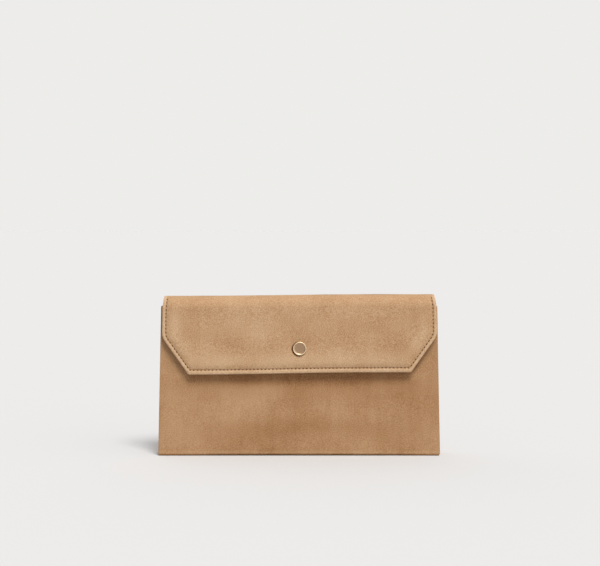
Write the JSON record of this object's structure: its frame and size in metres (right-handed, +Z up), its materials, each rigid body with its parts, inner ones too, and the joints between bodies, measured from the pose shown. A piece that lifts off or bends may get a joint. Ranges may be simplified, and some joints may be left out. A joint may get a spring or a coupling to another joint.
{
  "type": "envelope clutch",
  "caption": "Slim suede envelope clutch with a fold-over flap with cut-off corners, a round gold stud over a magnetic snap, and V-folded gussets.",
  "frame": {"origin": "centre of the base's underside, on the surface that the clutch stands on", "axes": "+X along the width, -Y the front with the flap and stud, +Z up towards the fold"},
  "size_m": [0.2706, 0.0303, 0.154],
  "materials": {
    "suede": "napped suede, no gloss",
    "facing_leather": "smooth thin split leather, low gloss",
    "lining_twill": "cotton twill, matt",
    "pulpboard": "compressed fibre board, matt",
    "foam": "thin padding felt, matt",
    "pale_gold": "plated, polished rim and satin centre",
    "brass": "stamped and plated, satin",
    "steel": "stamped and plated, satin",
    "ferrite": "pressed ferrite, matt",
    "thread": "waxed polyester thread"
  },
  "bodies": {
    "bag_body": {"back_panel": "suede", "back_board": "pulpboard", "back_lining": "lining_twill", "back_facing": "facing_leather", "slip_pocket": "lining_twill", "pocket_binding": "facing_leather", "pocket_thread": "thread", "base_panel": "suede", "base_board": "pulpboard", "base_lining": "lining_twill", "left_gusset": "suede", "left_gusset_lining": "lining_twill", "right_gusset": "suede", "right_gusset_lining": "lining_twill"},
    "front_wall": {"front_panel": "suede", "front_board": "pulpboard", "front_lining": "lining_twill", "front_facing": "suede", "mouth_thread": "thread", "snap_rivet": "brass", "snap_plate": "steel", "snap_magnet": "ferrite", "snap_cover": "brass"},
    "fold_strip": {"fold_panel": "suede", "fold_facing": "facing_leather"},
    "flap": {"flap_panel": "suede", "flap_foam": "foam", "flap_board": "pulpboard", "flap_facing": "facing_leather", "flap_thread": "thread", "stud_cap": "pale_gold", "snap_male": "steel"}
  },
  "joints": [
    {"name": "flap_fold_back", "type": "hinge", "parent": "bag_body", "child": "fold_strip", "pos_m": [0, 0.00516, 0.15052], "axis": [-1, 0, 0], "range_deg": [0, 90]},
    {"name": "flap_fold_front", "type": "hinge", "parent": "fold_strip", "child": "flap", "pos_m": [0, -0.01166, 0.15052], "axis": [-1, 0, 0], "range_deg": [0, 90]},
    {"name": "mouth_open", "type": "hinge", "parent": "bag_body", "child": "front_wall", "pos_m": [0, -0.01195, 0.00215], "axis": [1, 0, 0], "range_deg": [0, 7.2], "deforming": ["left_gusset", "left_gusset_lining", "right_gusset", "right_gusset_lining"]}
  ],
  "couplings": [
    {"joint": "flap_fold_front", "follows": "flap_fold_back", "ratio": 1},
    {"joint": "mouth_open", "follows": "flap_fold_back", "ratio": 0.08}
  ]
}
